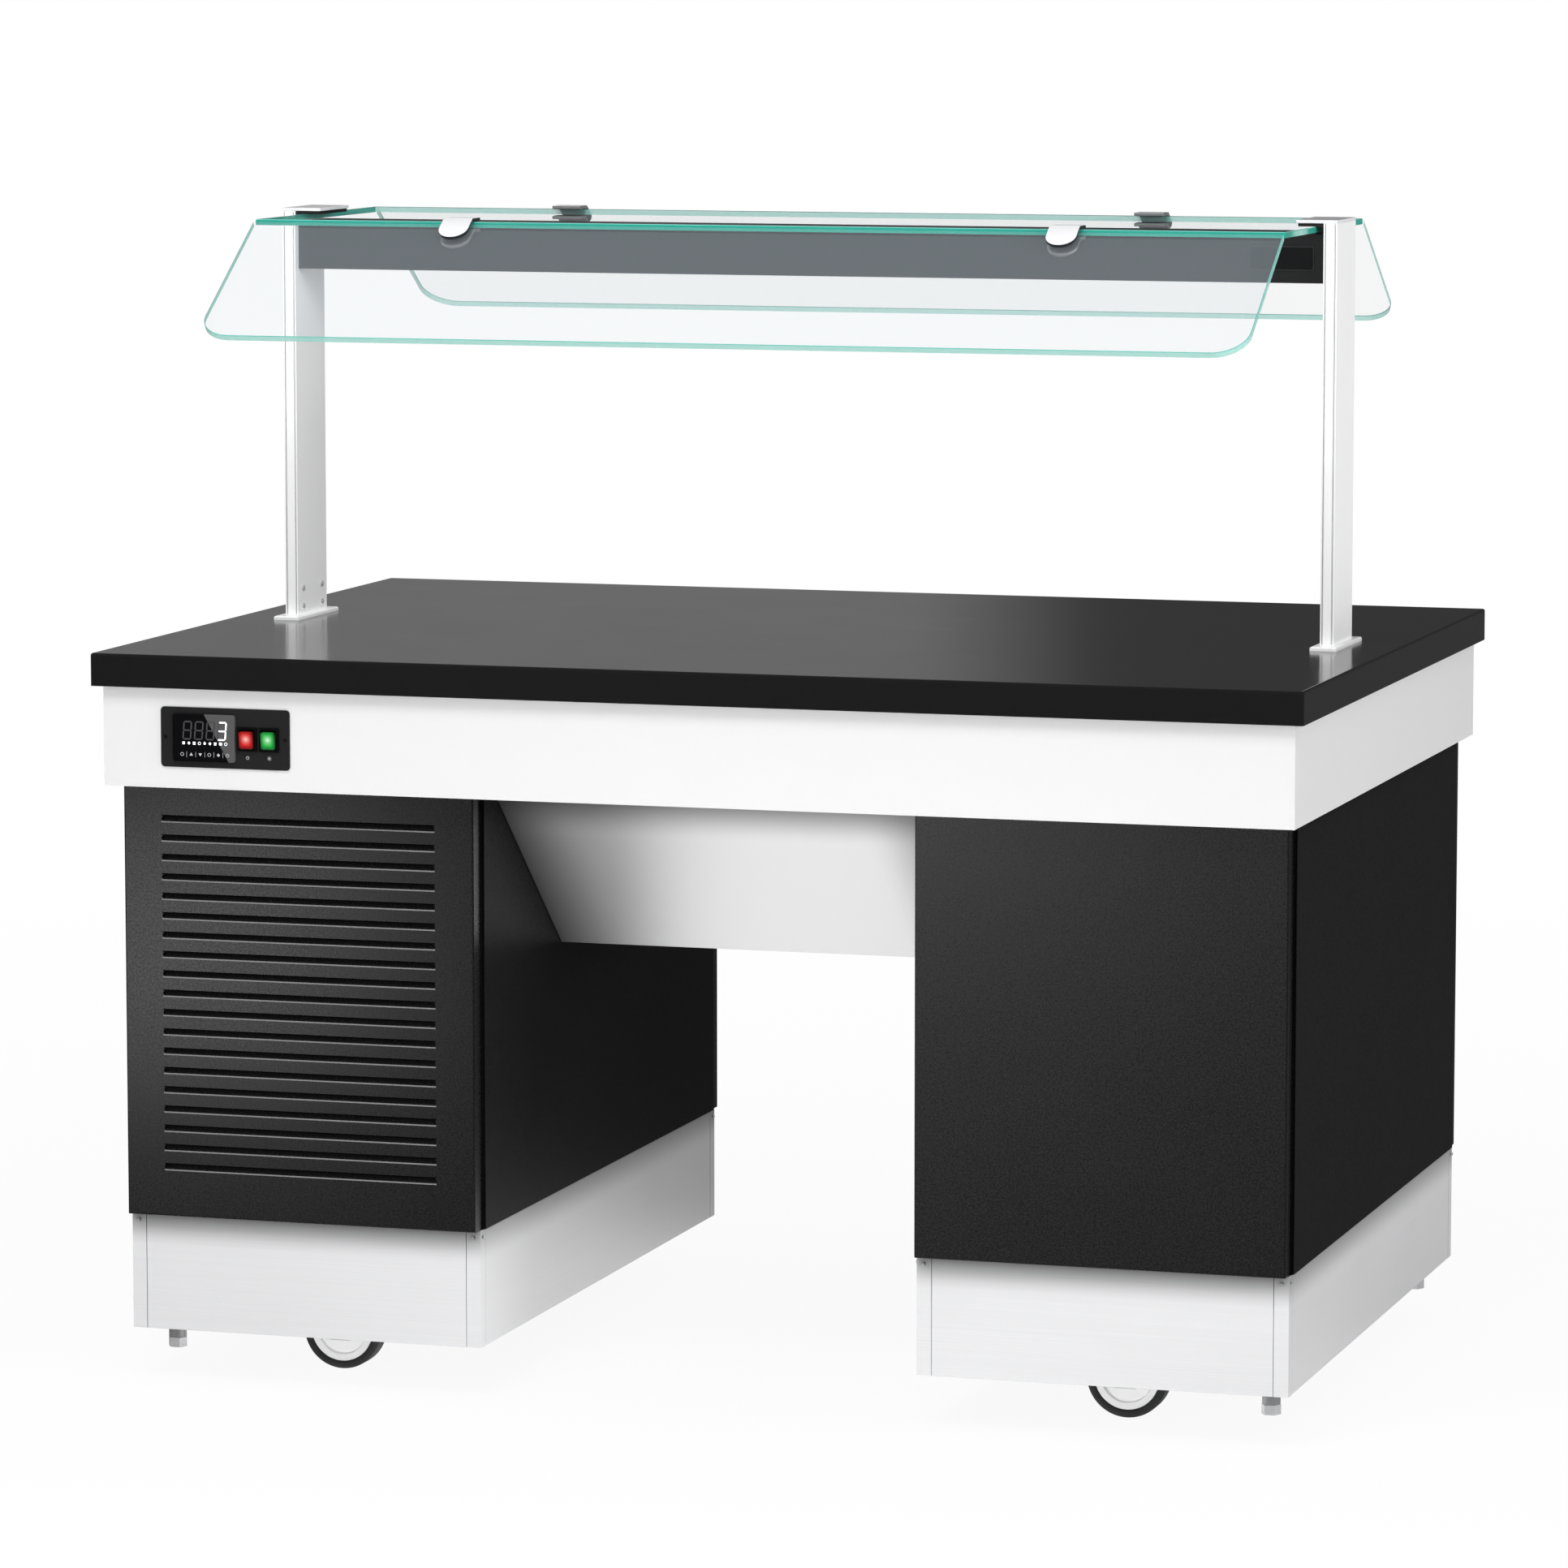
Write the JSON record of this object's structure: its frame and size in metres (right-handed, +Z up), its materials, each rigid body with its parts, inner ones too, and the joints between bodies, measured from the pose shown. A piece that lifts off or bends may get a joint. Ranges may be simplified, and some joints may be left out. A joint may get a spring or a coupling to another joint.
{
  "type": "cold buffet counter",
  "caption": "Chilled self-service counter with a dark stone top on two cabinets, castors and a glass canopy.",
  "frame": {"origin": "on the floor, under the middle of the counter", "axes": "+Z up, +X along the counter, the side with the control panel faces -Y"},
  "size_m": [1.5, 1.05, 1.42],
  "materials": {
    "black_stone": "satin, faintly polished",
    "apron_steel": "very light satin steel",
    "black_coat": "fine-textured black powder coat",
    "kick_steel": "brushed along the length",
    "zinc_steel": "bright zinc plate",
    "bright_steel": "polished",
    "post_aluminium": "satin anodised",
    "beam_coat": "smooth black",
    "clear_glass": "clear with green edges",
    "tyre_rubber": "dark grey rubber",
    "hub_plastic": "light grey moulded",
    "soft_pad": "black rubber",
    "black_plastic": "matt black moulded",
    "dark_window": "gloss",
    "red_rocker": "lit red",
    "green_rocker": "lit green",
    "diffuser_white": "opal",
    "foam": "rigid foam",
    "copper": "drawn copper",
    "cold_plate": "mill",
    "black_enamel": "gloss enamel",
    "grey_plastic": "grey moulded"
  },
  "bodies": {
    "counter": {"worktop_slab": "black_stone", "apron_tray": "apron_steel", "trough_housing": "apron_steel", "side_panels": "black_coat", "right_front_panel": "black_coat", "left_louvre_panel": "black_coat", "rear_panels": "black_coat", "control_plate": "black_coat", "kick_plates": "kick_steel", "kick_corners": "kick_steel", "left_frame": "zinc_steel", "right_frame": "zinc_steel", "castor_plates": "zinc_steel", "foot_sleeves": "zinc_steel", "post_spigots": "zinc_steel", "condensing_unit_base": "zinc_steel", "fan_shroud": "zinc_steel", "panel_screws": "bright_steel", "post_screws": "bright_steel", "post_caps": "bright_steel", "clamp_outer_plates": "bright_steel", "clamp_inner_plates": "bright_steel", "canopy_posts": "post_aluminium", "lamp_beam": "beam_coat", "glass_top": "clear_glass", "glass_front": "clear_glass", "glass_rear": "clear_glass", "glass_pads": "soft_pad", "controller_case": "black_plastic", "rocker_bezels": "black_plastic", "beam_nameplate": "black_plastic", "controller_window": "dark_window", "lamp_diffuser": "diffuser_white", "lamp_strip": "diffuser_white", "top_insulation": "foam", "refrigerant_lines": "copper", "evaporator": "cold_plate", "condenser_coil": "cold_plate", "compressor": "black_enamel", "fan_motor": "black_enamel", "electrical_box": "grey_plastic"},
    "castor_front_left": {"castor_fork_front_left": "zinc_steel"},
    "wheel_front_left": {"castor_hub_front_left": "hub_plastic", "castor_tyre_front_left": "tyre_rubber"},
    "foot_front_left": {"levelling_foot_front_left": "zinc_steel"},
    "castor_front_right": {"castor_fork_front_right": "zinc_steel"},
    "wheel_front_right": {"castor_hub_front_right": "hub_plastic", "castor_tyre_front_right": "tyre_rubber"},
    "foot_front_right": {"levelling_foot_front_right": "zinc_steel"},
    "castor_rear_left": {"castor_fork_rear_left": "zinc_steel"},
    "wheel_rear_left": {"castor_hub_rear_left": "hub_plastic", "castor_tyre_rear_left": "tyre_rubber"},
    "foot_rear_left": {"levelling_foot_rear_left": "zinc_steel"},
    "castor_rear_right": {"castor_fork_rear_right": "zinc_steel"},
    "wheel_rear_right": {"castor_hub_rear_right": "hub_plastic", "castor_tyre_rear_right": "tyre_rubber"},
    "foot_rear_right": {"levelling_foot_rear_right": "zinc_steel"},
    "rocker_red": {"rocker_switch_red": "red_rocker"},
    "rocker_green": {"rocker_switch_green": "green_rocker"},
    "fan": {"fan_rotor": "black_plastic"}
  },
  "joints": [
    {"name": "castor_swivel_front_left", "type": "hinge", "parent": "counter", "child": "castor_front_left", "pos_m": [-0.468, -0.33, 0.119], "axis": [0, 0, 1], "continuous": true},
    {"name": "wheel_spin_front_left", "type": "hinge", "parent": "castor_front_left", "child": "wheel_front_left", "pos_m": [-0.5, -0.33, 0.05], "axis": [0, 1, 0], "continuous": true},
    {"name": "foot_screw_front_left", "type": "slide", "parent": "counter", "child": "foot_front_left", "axis": [0, 0, 1], "range_m": [-0.03, 0]},
    {"name": "castor_swivel_front_right", "type": "hinge", "parent": "counter", "child": "castor_front_right", "pos_m": [0.468, -0.33, 0.119], "axis": [0, 0, 1], "continuous": true},
    {"name": "wheel_spin_front_right", "type": "hinge", "parent": "castor_front_right", "child": "wheel_front_right", "pos_m": [0.5, -0.33, 0.05], "axis": [0, 1, 0], "continuous": true},
    {"name": "foot_screw_front_right", "type": "slide", "parent": "counter", "child": "foot_front_right", "axis": [0, 0, 1], "range_m": [-0.03, 0]},
    {"name": "castor_swivel_rear_left", "type": "hinge", "parent": "counter", "child": "castor_rear_left", "pos_m": [-0.468, 0.33, 0.119], "axis": [0, 0, 1], "continuous": true},
    {"name": "wheel_spin_rear_left", "type": "hinge", "parent": "castor_rear_left", "child": "wheel_rear_left", "pos_m": [-0.5, 0.33, 0.05], "axis": [0, 1, 0], "continuous": true},
    {"name": "foot_screw_rear_left", "type": "slide", "parent": "counter", "child": "foot_rear_left", "axis": [0, 0, 1], "range_m": [-0.03, 0]},
    {"name": "castor_swivel_rear_right", "type": "hinge", "parent": "counter", "child": "castor_rear_right", "pos_m": [0.468, 0.33, 0.119], "axis": [0, 0, 1], "continuous": true},
    {"name": "wheel_spin_rear_right", "type": "hinge", "parent": "castor_rear_right", "child": "wheel_rear_right", "pos_m": [0.5, 0.33, 0.05], "axis": [0, 1, 0], "continuous": true},
    {"name": "foot_screw_rear_right", "type": "slide", "parent": "counter", "child": "foot_rear_right", "axis": [0, 0, 1], "range_m": [-0.03, 0]},
    {"name": "rocker_red_tilt", "type": "hinge", "parent": "counter", "child": "rocker_red", "pos_m": [-0.551, -0.515, 0.8005], "axis": [1, 0, 0], "range_deg": [-16, 0]},
    {"name": "rocker_green_tilt", "type": "hinge", "parent": "counter", "child": "rocker_green", "pos_m": [-0.523, -0.515, 0.8005], "axis": [1, 0, 0], "range_deg": [-16, 0]},
    {"name": "fan_spin", "type": "hinge", "parent": "counter", "child": "fan", "pos_m": [-0.5, -0.328, 0.352], "axis": [0, 1, 0], "continuous": true}
  ]
}
